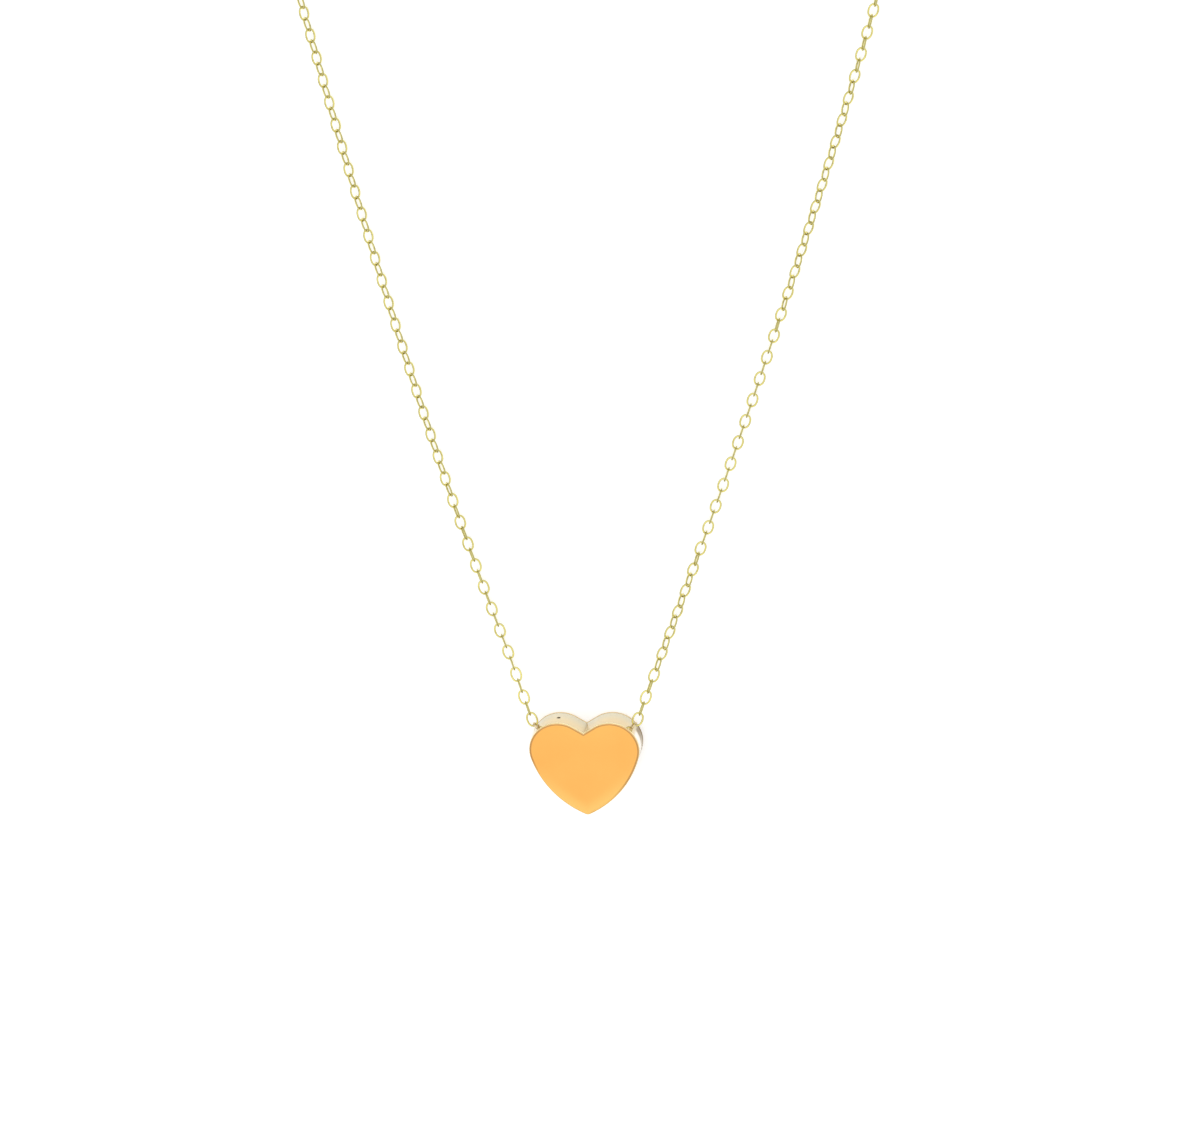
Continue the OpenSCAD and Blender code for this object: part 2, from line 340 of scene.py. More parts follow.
def sharp_by_angle(obj, degrees):
    """Keeps edges sharper than this crisp on a smooth-shaded piece."""
    mesh = obj.data
    mesh.update()
    faces_at = {}
    for poly in mesh.polygons:
        for key in poly.edge_keys:
            faces_at.setdefault(key, []).append(poly.normal.copy())
    limit = math.radians(degrees)
    for edge in mesh.edges:
        normals = faces_at.get(tuple(sorted(edge.vertices)), [])
        edge.use_edge_sharp = len(normals) == 2 and normals[0].angle(normals[1], 0) > limit


def tube_rings(path, radii, normals, sides):
    """Round sections of a wire along path. normals point across the wire at each path point."""
    rings = []
    for i, centre in enumerate(path):
        ahead = path[(i + 1) % len(path)] if i + 1 < len(path) else centre
        behind = path[i - 1] if i else centre
        tangent = unit(ahead - behind)
        across = unit(normals[i] - tangent * np.dot(normals[i], tangent))
        up = np.cross(tangent, across)
        rings.append([
            centre + radii[i] * (math.cos(a) * across + math.sin(a) * up)
            for a in np.linspace(0, 2 * math.pi, sides, endpoint=False)
        ])
    return rings


def ring_rings(centre, x_dir, y_dir, radius, wire, steps, sides, start=0.0, stop=360.0):
    """Round sections of a wire bent round centre in the plane of x_dir and y_dir, in degrees."""
    full = abs(stop - start) >= 360
    normal = np.cross(x_dir, y_dir)
    rings = []
    for a in np.radians(np.linspace(start, stop, steps, endpoint=not full)):
        out = math.cos(a) * x_dir + math.sin(a) * y_dir
        rings.append([
            centre + radius * out + wire / 2 * (math.cos(b) * out - math.sin(b) * normal)
            for b in np.linspace(0, 2 * math.pi, sides, endpoint=False)
        ])
    return rings


# ---------------------------------------------------------------------------
# Heart
# ---------------------------------------------------------------------------

lobe_at = np.array([HEART_W / 2 - LOBE_R, HEART_H / 2 - LOBE_R])
tip_at = np.array([0, TIP_R - HEART_H / 2])
lobe_end_dir = np.array([math.cos(LOBE_RUN), -math.sin(LOBE_RUN)])
lobe_to_tip = lobe_at - tip_at
radius_diff = LOBE_R - TIP_R
side_extra = (lobe_to_tip @ lobe_to_tip - radius_diff**2) / (
    2 * (lobe_to_tip @ lobe_end_dir + radius_diff)
)
side_r = LOBE_R + side_extra
side_at = lobe_at - side_extra * lobe_end_dir
tip_turn = math.atan2(tip_at[1] - side_at[1], tip_at[0] - side_at[0])
heart_mid = np.array([(plate_low[0] + plate_high[0]) / 2, (plate_low[1] + plate_high[1]) / 2])


def arc(at, radius, start, stop, count):
    return [
        at + radius * np.array([math.cos(a), math.sin(a)])
        for a in np.linspace(start, stop, count)
    ]


def half_outline(inset):
    """Right half of the heart's outline from tip to notch, moved inwards by inset."""
    lobe = arc(lobe_at, LOBE_R - inset, -LOBE_RUN, math.pi / 2 + NOTCH_SLOPE, 60)
    if inset < TIP_R:
        side_from = tip_turn
        tip = arc(tip_at, TIP_R - inset, -math.pi / 2, tip_turn, 8)
    else:
        # past the tip's own radius, the two sides run straight into each other
        side_from = -math.acos(-side_at[0] / (side_r - inset))
        tip = [arc(side_at, side_r - inset, side_from, side_from, 1)[0]] * 8
    side = arc(side_at, side_r - inset, side_from, -LOBE_RUN, 28)
    fall = [
        lobe[-1] + t * lobe[-1][0] * np.array([-1, -math.tan(NOTCH_SLOPE)])
        for t in np.linspace(0, 1, 8)[1:]
    ]
    return tip + side[1:] + lobe[1:] + fall


def outline(inset):
    half = half_outline(inset)
    return half + [np.array([-p[0], p[1]]) for p in half[-2:0:-1]]


def level(points, z):
    return [np.array([*(p + heart_mid), z]) for p in points]


def smooth(value, low, high):
    """0 at low and 1 at high, easing between them."""
    t = min(1.0, max(0.0, (value - low) / (high - low)))
    return t * t * (3 - 2 * t)


def painted_shade_below_loop(x, y):
    """How much painted shade lies below the right attachment loop, on the band and the back plate's
    rim.
    """
    away = math.degrees(math.atan2(y - lobe_at[1], x - lobe_at[0]))
    dark = PAINTED_SHADE_LEAST + (1 - PAINTED_SHADE_LEAST) * smooth(away, *PAINTED_SHADE_DEEPEST)
    if x <= 0:
        return 0.0
    return dark * smooth(away, *PAINTED_SHADE_IN) * (1 - smooth(away, *PAINTED_SHADE_OUT))


def painted_rim_line(x, y):
    """How strong the painted dark reflection round the face is: none along the lower left and the tip.
    """
    low_left = smooth(-y, -1.5, 1.0) * (1 - smooth(x, 0.0, 1.2))
    low_right = smooth(-y, 1.0, 4.5) * smooth(x, 0.0, 1.2)
    return (1 - low_left) * (1 - 0.9 * low_right)


def heart_plate(name, node, outer_z, up):
    """A sheet plate with a polished rolled edge. up is 1 for the front plate and -1 for the back.

    The polishing wheel has rounded its face off a little towards the edge.
    """
    inner_z = outer_z - up * PLATE_T
    profile = [(INNER_BEVEL, inner_z), (0.0, inner_z + up * INNER_BEVEL)]
    for a in np.radians(np.linspace(0, 90, 8)):
        drop = DOME_DROP + EDGE_R * (1 - math.sin(a))
        profile.append((EDGE_R * (1 - math.cos(a)), outer_z - up * drop))
    rim_rings = len(profile) - 3
    for inset in DOME_STEPS:
        drop = DOME_DROP * ((DOME_REACH - inset) / (DOME_REACH - EDGE_R)) ** 2
        profile.append((inset, outer_z - up * drop))
    build = Build()
    rings, wear_and_painted_shade, painted_reflection = [], [], []
    for inset, z in profile:
        points = outline(inset)
        ring = level(points, z)
        # painted light: bright is a painted reflection, yellower towards the bottom; dark is a painted
        # dark reflection, the brown line round the front plate, or painted shade below the right loop
        # on the back plate
        low = [smooth(-p[1], -1.0, 4.5) for p in points]
        line = 1 - smooth(abs(inset - LINE_INSET), LINE_CORE, LINE_FADE)
        if up > 0:
            dark = [LINE_DEPTH * line * painted_rim_line(*p) for p in points]
        else:
            dark = [LINE_DEPTH * painted_shade_below_loop(*p) for p in points]
        bright = [t * (1 - smooth(inset, 0.2, 1.9)) for t in low]
        if up < 0:
            ring, dark, bright = ring[::-1], dark[::-1], bright[::-1]
        rings.append(ring)
        wear_and_painted_shade += dark
        painted_reflection += bright
    slots = [1] * rim_rings + [0] * (len(rings) - rim_rings)
    build.rings(rings, closed_path=False, wear_and_painted_shade=wear_and_painted_shade, painted_reflection=painted_reflection, slots=slots)
    obj = build.piece(name, [FACE, RIM if up > 0 else BAND], "heart", [node])
    sharp_by_angle(obj, 60)
    return obj


heart_plate("front_plate", "heart_front_plate", HEART_T, 1)
heart_plate("back_plate", "heart_back_plate", 0.0, -1)


def heart_band(name, node, side):
    """Half of the side band, set a hair inside the plates' edges; drill_vent cuts the vent in the left
    half afterwards.
    """
    low_z, high_z = PLATE_T, HEART_T - PLATE_T
    outer = half_outline(BAND_SET_IN)
    inner = half_outline(BAND_T)
    heights = np.linspace(low_z, high_z, 13)
    build = Build()
    columns = len(outer)

    def spot(points, i, z):
        x, y = points[i]
        return np.array([side * x + heart_mid[0], y + heart_mid[1], z])

    def seam_tarnish_and_painted_shade(i, z):
        near_seam = max(0.0, 1 - abs(outer[i][0]) / SEAM_REACH)
        near_plate = max(0.0, 1 - min(z - low_z, high_z - z) / PLATE_LINE_REACH)
        dark = SEAM_DARK * near_seam + PLATE_LINE_DARK * near_plate
        # painted shade below the right loop, low on the band; the seam and plate darkening above is
        # real tarnish
        if side > 0:
            dark += painted_shade_below_loop(*outer[i]) * (1 - smooth(z, *PAINTED_SHADE_TOP))
        return min(1.0, dark)

    # a painted highlight, high on the band below the right loop
    def painted_highlight_below_loop(i, z):
        return painted_shade_below_loop(*outer[i]) * smooth(z, *PAINTED_HIGHLIGHT_FROM) if side > 0 else 0.0

    # a painted reflection, greyer towards the bottom of the band
    def painted_grey_reflection(z):
        return 1 - smooth(z, *GREY_FADE)

    grids = []
    for points in (outer, inner):
        first = build.add(
            [spot(points, i, z) for i in range(columns) for z in heights],
            [seam_tarnish_and_painted_shade(i, z) for i in range(columns) for z in heights],
            [painted_grey_reflection(z) for i in range(columns) for z in heights],
            [painted_highlight_below_loop(i, z) for i in range(columns) for z in heights],
        )
        grids.append(first)
    rows = len(heights)

    def quad(a, b, c, d):
        build.face((a, b, c, d) if side > 0 else (d, c, b, a))

    for i in range(columns - 1):
        for k in range(rows - 1):
            o = grids[0] + i * rows + k
            n = grids[1] + i * rows + k
            quad(o, o + rows, o + rows + 1, o + 1)
            quad(n, n + 1, n + rows + 1, n + rows)
        for k in (0, rows - 1):
            o = grids[0] + i * rows + k
            n = grids[1] + i * rows + k
            if k == 0:
                quad(o, n, n + rows, o + rows)
            else:
                quad(o, o + rows, n + rows, n)
    for i in (0, columns - 1):
        for k in range(rows - 1):
            o = grids[0] + i * rows + k
            n = grids[1] + i * rows + k
            if i == 0:
                quad(o, o + 1, n + 1, n)
            else:
                quad(o, n, n + 1, o + 1)
    return build.piece(name, [BAND], "heart", [node])


band_left = heart_band("band_left", "heart_band_left", -1)
band_right = heart_band("band_right", "heart_band_right", 1)


def drill_vent(obj):
    """Cuts the round vent hole through the top of the left lobe."""
    cutter_mesh = bpy.data.meshes.new("vent_drill")
    sides = 32
    rings = []
    for y in (1.0, -1.0):
        centre = np.array([heart_mid[0] - lobe_at[0], heart_mid[1] + HEART_H / 2 + y, HEART_T / 2])
        rings.append([
            centre + VENT_D / 2 * np.array([math.cos(a), 0, math.sin(a)])
            for a in np.linspace(0, 2 * math.pi, sides, endpoint=False)
        ])
    build = Build()
    build.rings(rings, closed_path=False)
    cutter_mesh.from_pydata([tuple(v * MM) for v in build.verts], [], build.faces)
    cutter = bpy.data.objects.new("vent_drill", cutter_mesh)
    bpy.context.scene.collection.objects.link(cutter)
    modifier = obj.modifiers.new("vent", "BOOLEAN")
    modifier.operation = "DIFFERENCE"
    modifier.solver = "EXACT"
    modifier.object = cutter
    bpy.context.view_layer.update()
    evaluated = obj.evaluated_get(bpy.context.evaluated_depsgraph_get())
    cut = bpy.data.meshes.new_from_object(evaluated)
    obj.modifiers.remove(modifier)
    obj.data = cut
    bpy.data.objects.remove(cutter)


drill_vent(band_left)
for band in (band_left, band_right):
    sharp_by_angle(band, 40)


def attachment_loop(name, node, side):
    """A staple of round wire whose feet flare into small solder fillets on the band."""
    out = np.array([side * math.cos(LOOP_ANGLE), math.sin(LOOP_ANGLE), 0.0])
    up = np.array([0.0, 0.0, 1.0])
    foot = np.array([side * lobe_at[0], lobe_at[1], HEART_T / 2])
    foot[:2] += heart_mid
    foot = foot + (LOBE_R - LOOP_SINK) * out
    bend_r = (LOOP_OPEN + LOOP_WIRE) / 2
    path, radii, wear_and_painted_shade = [], [], []
    sides = 14
    leg = LOOP_LEG + LOOP_SINK
    for t in np.linspace(0, 1, 6)[:-1]:
        path.append(foot + t * leg * out - bend_r * up)
        radii.append(LOOP_WIRE / 2 * (1 + SOLDER_SWELL * (1 - t) ** 3))
        wear_and_painted_shade.append(0.35 * (1 - t))
    for a in np.radians(np.linspace(-90, 90, 21)):
        path.append(foot + (leg + bend_r * math.cos(a)) * out + bend_r * math.sin(a) * up)
        radii.append(LOOP_WIRE / 2)
        wear_and_painted_shade.append(0.25 * math.cos(a) ** 8)
    for t in np.linspace(1, 0, 6)[1:]:
        path.append(foot + t * leg * out + bend_r * up)
        radii.append(LOOP_WIRE / 2 * (1 + SOLDER_SWELL * (1 - t) ** 3))
        wear_and_painted_shade.append(0.35 * (1 - t))
    across = np.cross(out, up)
    build = Build()
    build.rings(
        tube_rings(path, radii, [across] * len(path), sides),
        closed_path=False,
        wear_and_painted_shade=[w for w in wear_and_painted_shade for _ in range(sides)],
    )
    return build.piece(name, [BAND], "heart", [node])


attachment_loop("loop_left", "attachment_loop_left", -1)
attachment_loop("loop_right", "attachment_loop_right", 1)

# ---------------------------------------------------------------------------
# Chain links, each laid exactly on its CAD link
# ---------------------------------------------------------------------------


def loose_parts(node):
    """Triangles of each separate solid in a CAD node, as arrays of corner points in millimetres."""
    mesh = frame["nodes"][node].data
    mesh.calc_loop_triangles()
    points = np.array([v.co for v in mesh.vertices]) / MM
    corners = np.array([t.vertices[:] for t in mesh.loop_triangles])
    _, merged = np.unique(np.round(points, 4), axis=0, return_inverse=True)
    merged = merged.reshape(-1)
    group = list(range(merged.max() + 1))

    def root(i):
        while group[i] != i:
            group[i] = group[group[i]]
            i = group[i]
        return i

    for a, b, c in merged[corners]:
        ra, rb, rc = root(a), root(b), root(c)
        group[rb] = ra
        group[root(rc)] = root(ra)
    parts = {}
    for tri in corners:
        parts.setdefault(root(merged[tri[0]]), []).append(tri)
    solids = [points[np.array(tris)] for tris in parts.values()]
    return sorted(solids, key=lambda s: tuple(np.round(s.mean((0, 1)), 3)))


def solid_frame(triangles):
    """Centre of mass and principal axes, longest first, of a closed solid."""
    a, b, c = triangles[:, 0], triangles[:, 1], triangles[:, 2]
    volumes = np.einsum("ij,ij->i", a, np.cross(b, c)) / 6
    total = volumes.sum()
    centre = (volumes[:, None] * (a + b + c) / 4).sum(0) / total
    a, b, c = a - centre, b - centre, c - centre
    volumes = np.einsum("ij,ij->i", a, np.cross(b, c)) / 6
    spread = np.zeros((3, 3))
    total_corner = a + b + c
    for p in (a, b, c, total_corner):
        spread += np.einsum("i,ij,ik->jk", volumes, p, p)
    _, vectors = np.linalg.eigh(spread / total)
    return centre, vectors[:, ::-1].T


def link_path(steps):
    """Points round a link's centre line in its own plane, with how near each is to a bend's middle.

    The oval is a little rounder than two half circles joined by straights.
    """
    half_w, half_l = (LINK_W - LINK_WIRE) / 2, (LINK_L - LINK_WIRE) / 2
    straight = half_l - half_w
    roundness = 0.7
    points = []
    for a in np.linspace(0, 2 * math.pi, steps, endpoint=False):
        oval = np.array([half_w * math.cos(a), half_l * math.sin(a)])
        away = math.atan2(oval[1], oval[0])
        ray = np.array([math.cos(away), math.sin(away)])
        # the same direction from the middle, on the straight-sided link
        reach = half_w / max(abs(ray[0]), 1e-9)
        if reach * abs(ray[1]) > straight:
            rise = straight * abs(ray[1])
            reach = rise + math.sqrt(rise * rise + half_w**2 - straight**2)
        p = roundness * oval + (1 - roundness) * reach * ray
        points.append((p, abs(math.sin(a)) ** 14))
    return points


LINK_SIDES = 14
LINK_PATH = link_path(steps=44)


def add_link(build, triangles, seed):
    """One link: round wire, a faint solder bead on one side, painted shade inside its two bends, and
    painted dark reflections along the wire's sides.
    """
    centre, (along, across, normal) = solid_frame(triangles)
    normal = np.cross(across, along)
    if seed % 2:
        across, normal = -across, -normal
    rings, wear_and_painted_shade, sides = [], [], []
    bead_at = LINK_PATH[0][0]
    for i, (p, bend) in enumerate(LINK_PATH):
        run = LINK_PATH[(i + 1) % len(LINK_PATH)][0] - LINK_PATH[i - 1][0]
        out = unit(np.array([run[1], -run[0]]))
        bead = math.exp(-((np.linalg.norm(p - bead_at) / 0.09) ** 2))
        radius = LINK_WIRE / 2 * (1 - 0.03 * bend) - 0.004 * (1 - bead)
        middle = centre + p[0] * across + p[1] * along
        out3 = out[0] * across + out[1] * along
        ring = []
        for b in np.linspace(0, 2 * math.pi, LINK_SIDES, endpoint=False):
            ring.append(middle + radius * (math.cos(b) * out3 - math.sin(b) * normal))
            inner = max(0.0, -math.cos(b))
            # painted shade inside the bends, where the next links hook through, plus the real solder
            # bead
            wear_and_painted_shade.append(min(1.0, 0.95 * bend * inner + 0.18 * bead))
            # a painted dark reflection along the wire's sides
            sides.append(0.75 * smooth(abs(math.cos(b)), 0.35, 0.9))
        rings.append(ring)
    build.rings(rings, closed_path=True, wear_and_painted_shade=wear_and_painted_shade, painted_reflection=sides)


def chain_piece(node):
    build = Build()
    for i, triangles in enumerate(loose_parts(node)):
        add_link(build, triangles, i)
    build.piece("links_" + node, [CHAIN], node, [node])


for half in ("left", "right"):
    for length in ("link_1", "link_2", *(f"chain_{n}" for n in range(1, 9))):
        chain_piece(f"{half}_{length}")

# ---------------------------------------------------------------------------
# Jump rings, end ring and clasp
# ---------------------------------------------------------------------------

UP = np.array([0.0, 0.0, 1.0])


def flat_direction(start, stop):
    step = stop - start
    return unit(np.array([step[0], step[1], 0.0]))


def node_middle(node):
    low, high = box_mm(node)
    return (low + high) / 2


clasp_at = joint_point("clasp_bolt_draw")
clasp_dir = flat_direction(node_middle("clasp_jump_ring"), clasp_at)
clasp_side = np.cross(UP, clasp_dir)
end_dir = flat_direction(node_middle("end_jump_ring"), node_middle("end_ring"))


def jump_ring(name, node, direction, body):
    """A jump ring standing upright, closed with a fine butt seam on top."""
    build = Build()
    steps, sides = 72, 18
    radius = (JUMP_D - JUMP_WIRE) / 2
    rings = ring_rings(node_middle(node), UP, direction, radius, JUMP_WIRE, steps, sides)
    wear_and_painted_shade = []
    for i in range(steps):
        a = 2 * math.pi * i / steps
        seam = 1.0 if i == 0 else 0.35 if i in (1, steps - 1) else 0.0
        rub = 0.5 * abs(math.sin(a)) ** 10
        wear_and_painted_shade += [min(1.0, seam + rub)] * sides
    # the seam is a shallow nick
    middle = sum(rings[0]) / sides
    rings[0] = [middle + 0.93 * (p - middle) for p in rings[0]]
    build.rings(rings, closed_path=True, wear_and_painted_shade=wear_and_painted_shade)
    return build.piece(name, [CHAIN], body, [node])


jump_ring("jump_ring_clasp", "clasp_jump_ring", clasp_dir, "clasp_jump_ring")
jump_ring("jump_ring_end", "end_jump_ring", end_dir, "end_jump_ring")


def end_ring():
    """A flat ring with rounded edges and a straight bore."""
    round_r = 0.1
    outer_r, bore_r = END_RING_D / 2, END_RING_BORE / 2
    half = END_RING_T / 2
    section = []
    corners = [
        (outer_r - round_r, half - round_r, 0), (bore_r + round_r / 2, half - round_r / 2, 90),
        (bore_r + round_r / 2, round_r / 2 - half, 180), (outer_r - round_r, round_r - half, 270),
    ]
    for x, z, start in corners:
        corner_r = round_r if x > (outer_r + bore_r) / 2 else round_r / 2
        for a in np.radians(np.linspace(start, start + 90, 6)):
            section.append((x + corner_r * math.cos(a), z + corner_r * math.sin(a)))
    centre = node_middle("end_ring")
    side_dir = np.cross(UP, end_dir)
    rings = []
    for a in np.linspace(0, 2 * math.pi, 96, endpoint=False):
        out = math.cos(a) * end_dir + math.sin(a) * side_dir
        rings.append([centre + x * out + z * UP for x, z in section][::-1])
    build = Build()
    build.rings(rings, closed_path=True)
    obj = build.piece("flat_end_ring", [CHAIN], "end_ring", ["end_ring"])
    sharp_by_angle(obj, 50)


end_ring()

clasp_r = (CLASP_D - TUBE_D) / 2
bore_r = TUBE_D / 2 - TUBE_WALL
bolt_r = bore_r - BOLT_PLAY
tab_angle = MOUTH_FROM - TAB_BACK
bolt_from = tab_angle - BOLT_TAIL
bolt_to = MOUTH_FROM + MOUTH + BOLT_GRIP


def clasp_out(degrees):
    a = math.radians(degrees)
    return math.cos(a) * clasp_dir + math.sin(a) * clasp_side


def tube_point(around, roll, radius):
    """A point of the clasp's bent tube, with both angles in degrees and roll 0 on the outside."""
    b = math.radians(roll)
    out = clasp_out(around)
    return clasp_at + (clasp_r + radius * math.cos(b)) * out + radius * math.sin(b) * UP


def clasp_tube():
    """The hollow ring with its mouth, and the slot that the thumb tab travels in."""
    slot_low, slot_high = tab_angle - BOLT_TRAVEL - SLOT_MARGIN, tab_angle + SLOT_MARGIN
    slot_half = TAB_D / 2 + BOLT_PLAY
    around = [MOUTH_FROM + MOUTH + 2.5 * i for i in range(200)]
    around = [a for a in around if a < slot_low + 360 - 0.5]
    around += list(np.linspace(slot_low + 360, slot_high + 360, 28))
    around += list(np.linspace(slot_high + 360, MOUTH_FROM + 360, 3))[1:]
    outer_r = TUBE_D / 2

    def rolls(radius):
        edge = math.degrees(math.asin(slot_half / radius))
        return list(np.linspace(-edge, edge, 7)) + list(np.linspace(edge, 360 - edge, 31))[1:-1]

    outer_rolls, inner_rolls = rolls(outer_r), rolls(bore_r)
    count = len(outer_rolls)
    slot_cells = 6
    build = Build()
    outer = build.add([tube_point(a, r, outer_r) for a in around for r in outer_rolls])
    inner = build.add([tube_point(a, r, bore_r) for a in around for r in inner_rolls])

    def open_cell(i, k):
        middle = (around[i] + around[i + 1]) / 2 - 360
        return k < slot_cells and slot_low < middle < slot_high

    cells = {
        (i, k)
        for i in range(len(around) - 1)
        for k in range(count)
        if not open_cell(i, k)
    }

    def at(base, i, k):
        return base + i * count + k % count

    for i, k in sorted(cells):
        build.face((at(outer, i, k), at(outer, i + 1, k), at(outer, i + 1, k + 1), at(outer, i, k + 1)))
        build.face((at(inner, i, k + 1), at(inner, i + 1, k + 1), at(inner, i + 1, k), at(inner, i, k)))
        sides = [
            ((i - 1, k), (i, k), (i, k + 1)),
            ((i + 1, k), (i + 1, k + 1), (i + 1, k)),
            ((i, (k - 1) % count), (i + 1, k), (i, k)),
            ((i, (k + 1) % count), (i, k + 1), (i + 1, k + 1)),
        ]
        for beyond, p, q in sides:
            if beyond not in cells:
                build.face((at(outer, *p), at(outer, *q), at(inner, *q), at(inner, *p)))
    obj = build.piece("clasp_tube", [CHAIN], "clasp", ["clasp_ring_tube"])
    sharp_by_angle(obj, 40)


def clasp_eye():
    """The clasp's soldered eye, cut where it meets the tube."""
    radius = (EYE_OPEN + EYE_WIRE) / 2
    centre = clasp_at - (CLASP_D / 2 + radius) * clasp_dir
    # the arc of the wire that stands clear of the tube
    reach = 128
    steps, sides = 57, 18
    rings = ring_rings(
        centre, -clasp_dir, -clasp_side, radius, EYE_WIRE, steps, sides, -reach, reach
    )
    wear_and_painted_shade = []
    for i in range(steps):
        t = abs(2 * i / (steps - 1) - 1)
        wear_and_painted_shade += [0.6 * max(0.0, (t - 0.85) / 0.15)] * sides
    build = Build()
    build.rings(rings, closed_path=False, wear_and_painted_shade=wear_and_painted_shade)
    build.piece("clasp_eye_ring", [CHAIN], "clasp", ["clasp_eye"])


def clasp_bolt():
    """The sprung bolt: a bent rod with a rounded nose."""
    sides = 24
    rings = []
    for around in np.linspace(bolt_from, bolt_to, 60):
        from_nose = math.radians(bolt_to - around) * clasp_r
        nose = min(1.0, max(0.0, from_nose) / BOLT_NOSE)
        swell = math.sqrt(1 - (1 - nose) ** 2)
        radius = bolt_r * (BOLT_FLAT + (1 - BOLT_FLAT) * swell)
        rings.append([
            tube_point(around, r, radius) for r in np.linspace(0, 360, sides, endpoint=False)
        ][::-1])
    build = Build()
    build.rings(rings, closed_path=False)
    obj = build.piece("clasp_sprung_bolt", [CHAIN], "clasp_bolt", ["clasp_bolt"])
    sharp_by_angle(obj, 50)


def clasp_tab():
    """The thumb tab: a short stem that swells to a rounded tip."""
    out = clasp_out(tab_angle)
    side = np.cross(UP, out)
    start = clasp_r + bolt_r * 0.97
    stop = clasp_r + TUBE_D / 2 + TAB_OUT
    length = stop - start
    sides = 20
    rings = []
    profile = [(0.0, 0.78), (0.3, 0.74), (0.5, 0.74), (0.62, 0.86), (0.72, 0.97), (0.8, 1.0)]
    profile += [(0.86, 0.98), (0.92, 0.88), (0.97, 0.66), (1.0, 0.3)]
    for t, swell in profile:
        centre = clasp_at + (start + t * length) * out
        rings.append([
            centre + TAB_D / 2 * swell * (math.cos(a) * side + math.sin(a) * UP)
            for a in np.linspace(0, 2 * math.pi, sides, endpoint=False)
        ])
    build = Build()
    build.rings(rings, closed_path=False)
    obj = build.piece("clasp_tab", [CHAIN], "clasp_bolt", ["clasp_thumb_tab"])
    sharp_by_angle(obj, 60)


def clasp_spring():
    """The return spring, coiled inside the tube behind the bolt."""
    coil_r = bore_r - BOLT_PLAY - SPRING_WIRE / 2
    stop = bolt_from - 1
    count = SPRING_TURNS * 20
    path, normals = [], []
    for i in range(count + 1):
        t = i / count
        around = SPRING_FROM + (stop - SPRING_FROM) * t
        roll = 360 * SPRING_TURNS * t
        path.append(tube_point(around, roll, coil_r))
        normals.append(path[-1] - tube_point(around, roll, 0))
    build = Build()
    build.rings(tube_rings(path, [SPRING_WIRE / 2] * len(path), normals, 8), closed_path=False)
    obj = build.piece("clasp_return_spring", [STEEL], None, ["clasp_spring"])
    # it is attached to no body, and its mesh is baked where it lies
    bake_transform(obj)


clasp_tube()
clasp_eye()
clasp_bolt()
clasp_tab()
clasp_spring()

# ---------------------------------------------------------------------------
# Floor, light and camera
# ---------------------------------------------------------------------------


FLOOR_LOW = (0.78, 0.78, 0.78)
FLOOR_HIGH = (0.81, 0.81, 0.81)
# keeps the floor as white as a lit backdrop, with little shadow
FLOOR_GLOW = 0.44
FLOOR_GAP = 0.01


def floor():
    """A plain pale floor just under the necklace."""
    half = 3.0
    mesh = bpy.data.meshes.new("floor")
    mesh.from_pydata(
        [(-half, -half, 0), (half, -half, 0), (half, half, 0), (-half, half, 0)], [], [(0, 1, 2, 3)]
    )
    mat = bpy.data.materials.new("pale_floor")
    mat.use_nodes = True
    nodes, links = mat.node_tree.nodes, mat.node_tree.links
    shader = nodes["Principled BSDF"]
    shader.inputs["Roughness"].default_value = 0.9
    shader.inputs["Specular IOR Level"].default_value = 0.0
    coords = nodes.new("ShaderNodeTexCoord").outputs["Object"]
    blotches = noise(nodes, links, coords, 0.02)
    colour = two_tones(nodes, links, FLOOR_LOW, FLOOR_HIGH, blotches)
    links.new(colour, shader.inputs["Base Color"])
    shader.inputs["Emission Color"].default_value = (1, 1, 1, 1)
    shader.inputs["Emission Strength"].default_value = FLOOR_GLOW
    mesh.materials.append(mat)
    obj = bpy.data.objects.new("floor", mesh)
    obj.location.z = -FLOOR_GAP * MM
    bpy.context.scene.collection.objects.link(obj)


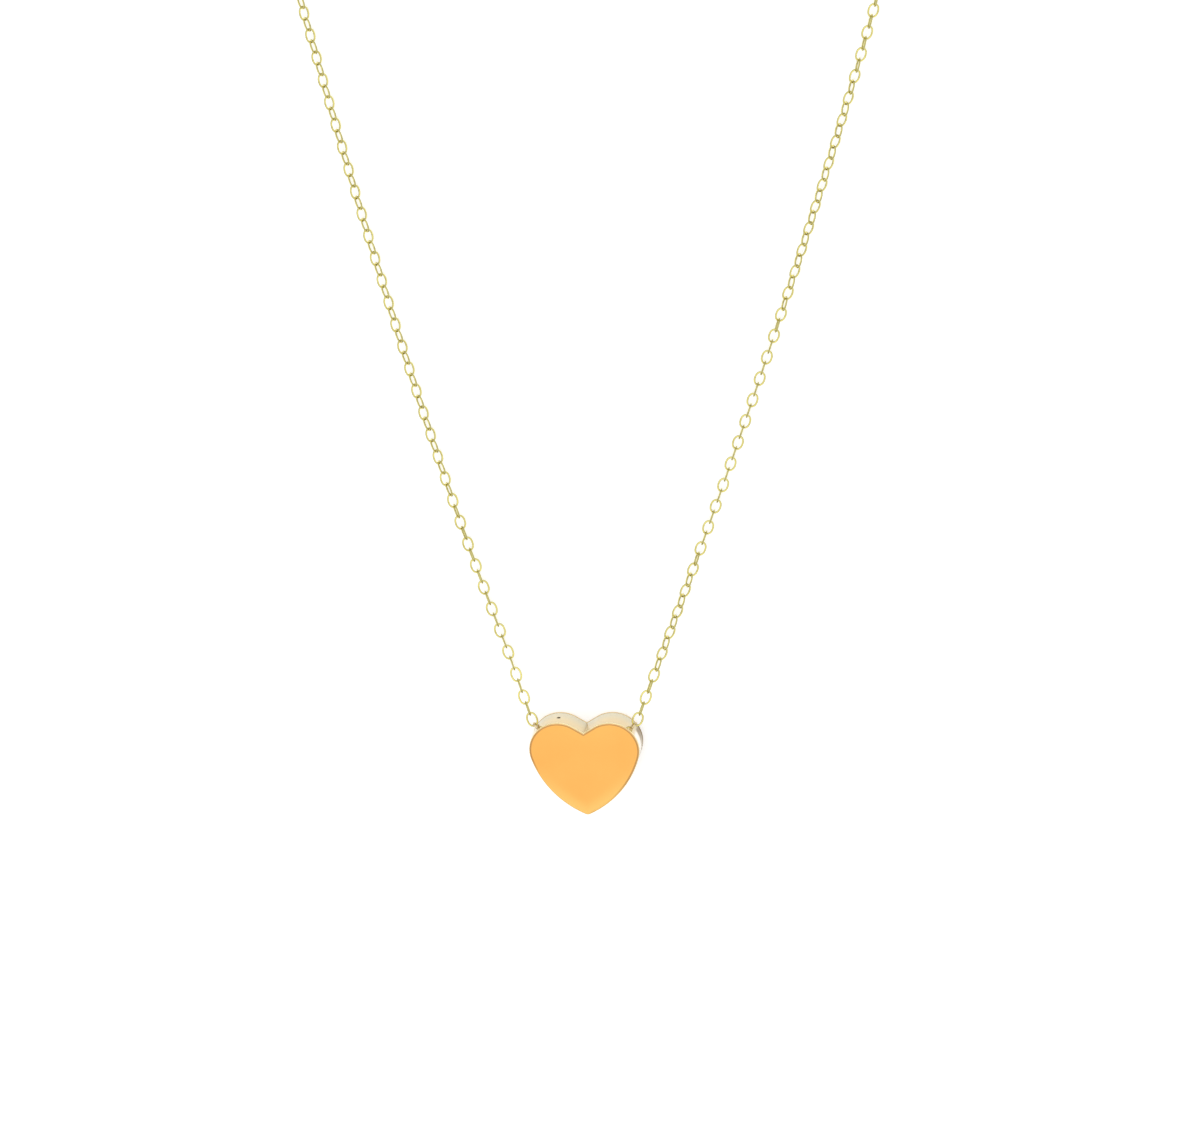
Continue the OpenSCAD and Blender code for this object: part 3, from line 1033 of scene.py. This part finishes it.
def sky():
    """A white tent: bright overhead, with a dimmer band near the horizon that metal picks up."""
    world = bpy.data.worlds.new("tent")
    bpy.context.scene.world = world
    world.use_nodes = True
    nodes, links = world.node_tree.nodes, world.node_tree.links
    background = nodes["Background"]
    direction = nodes.new("ShaderNodeTexCoord").outputs["Generated"]
    height = nodes.new("ShaderNodeSeparateXYZ")
    links.new(direction, height.inputs["Vector"])
    ramp = nodes.new("ShaderNodeValToRGB")
    stops = ramp.color_ramp.elements
    stops[0].position, stops[0].color = 0.0, (0.12, 0.11, 0.10, 1)
    stops[1].position, stops[1].color = 0.62, (1.0, 1.0, 1.0, 1)
    for position, value in ((0.18, 0.16), (0.34, 0.55), (0.45, 1.0)):
        stop = ramp.color_ramp.elements.new(position)
        stop.color = (value, value, value * 0.98, 1)
    links.new(height.outputs["Z"], ramp.inputs["Fac"])
    sees = nodes.new("ShaderNodeLightPath")
    mix = nodes.new("ShaderNodeMix")
    mix.data_type = "RGBA"
    mix.inputs["B"].default_value = (0.95, 0.95, 0.95, 1)
    links.new(sees.outputs["Is Camera Ray"], mix.inputs["Factor"])
    links.new(ramp.outputs["Color"], mix.inputs["A"])
    links.new(mix.outputs["Result"], background.inputs["Color"])
    background.inputs["Strength"].default_value = 1.0


def softbox(name, at, size, watts):
    """A soft area light aimed at the heart."""
    light = bpy.data.lights.new(name, "AREA")
    light.shape = "DISK"
    light.size = size
    light.energy = watts
    obj = bpy.data.objects.new(name, light)
    obj.location = at
    obj.rotation_mode = "QUATERNION"
    obj.rotation_quaternion = (-Vector(at)).to_track_quat("-Z", "Y")
    bpy.context.scene.collection.objects.link(obj)


# the view leans back past the top of the heart and to its right, and rolls a little clockwise
TILT_BACK = math.radians(21.95)
TILT_SIDE = math.radians(7.72)
ROLL = math.radians(-3.27)
AIM = Vector((1.47, 24.49, 1.0))
LENS = 800
SENSOR = 36
VIEW_W = 141.5
DISTANCE = VIEW_W * LENS / SENSOR


def camera():
    toward = Vector((
        math.sin(TILT_SIDE),
        math.cos(TILT_SIDE) * math.sin(TILT_BACK),
        math.cos(TILT_SIDE) * math.cos(TILT_BACK),
    ))
    level = Vector((0, 1, 0)).cross(toward).normalized()
    rise = toward.cross(level)
    right = math.cos(ROLL) * level + math.sin(ROLL) * rise
    up = toward.cross(right)
    data = bpy.data.cameras.new("camera")
    data.lens = LENS
    data.sensor_width = SENSOR
    data.clip_start, data.clip_end = 0.1, 20
    obj = bpy.data.objects.new("camera", data)
    turn = Matrix((right, up, toward)).transposed().to_4x4()
    obj.matrix_world = Matrix.Translation((AIM + toward * DISTANCE) * MM) @ turn
    bpy.context.scene.collection.objects.link(obj)
    bpy.context.scene.camera = obj


floor()
sky()
softbox("key_light", (-0.12, 0.2, 1.3), 1.1, 1.2)
camera()
bpy.context.scene.view_settings.view_transform = "Standard"
